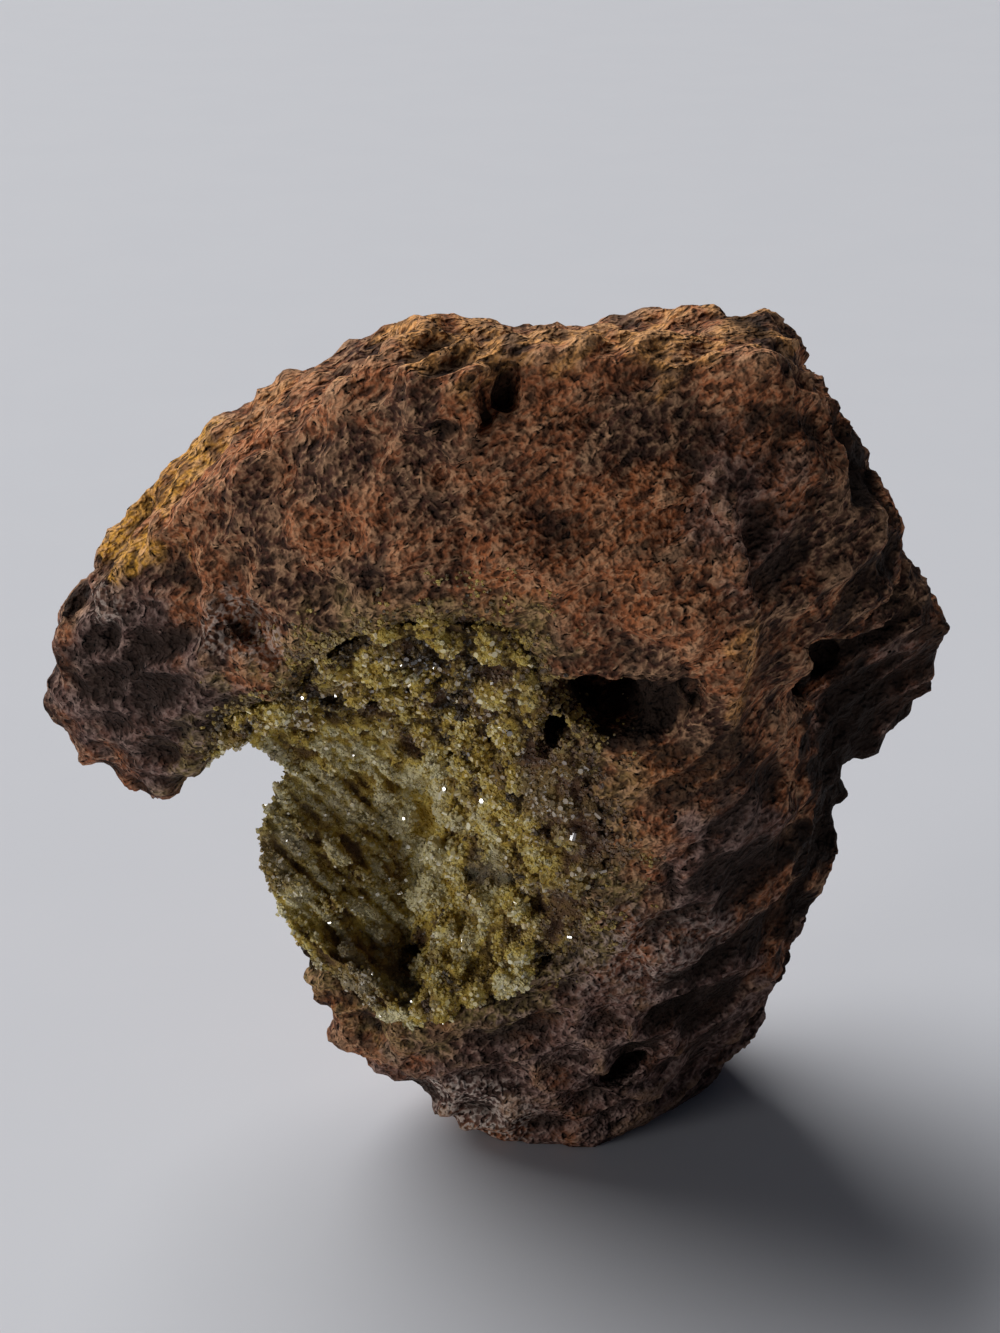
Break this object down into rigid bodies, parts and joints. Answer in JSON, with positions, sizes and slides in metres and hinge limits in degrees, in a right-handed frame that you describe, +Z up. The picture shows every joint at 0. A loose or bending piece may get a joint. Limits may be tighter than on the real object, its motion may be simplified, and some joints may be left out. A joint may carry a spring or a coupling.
{
  "type": "pyromorphite specimen",
  "caption": "Broken lump of iron-stained gossan standing on a small flat foot, with an open hollow in its display side lined by a druse of stubby six-sided pyromorphite crystals.",
  "frame": {"origin": "middle of the foot, on the surface that the specimen stands on", "axes": "+Z up; the display side with the hollow faces -Y; +X to the onlooker's right"},
  "size_m": [0.0941, 0.0549, 0.094],
  "materials": {
    "gossan": "dull, rough, granular broken rock",
    "pyromorphite": "resinous, translucent olive to yellow-green crystal crust"
  },
  "bodies": {
    "root": {"gossan_matrix": "gossan", "pyromorphite_druse": "pyromorphite"}
  },
  "joints": []
}
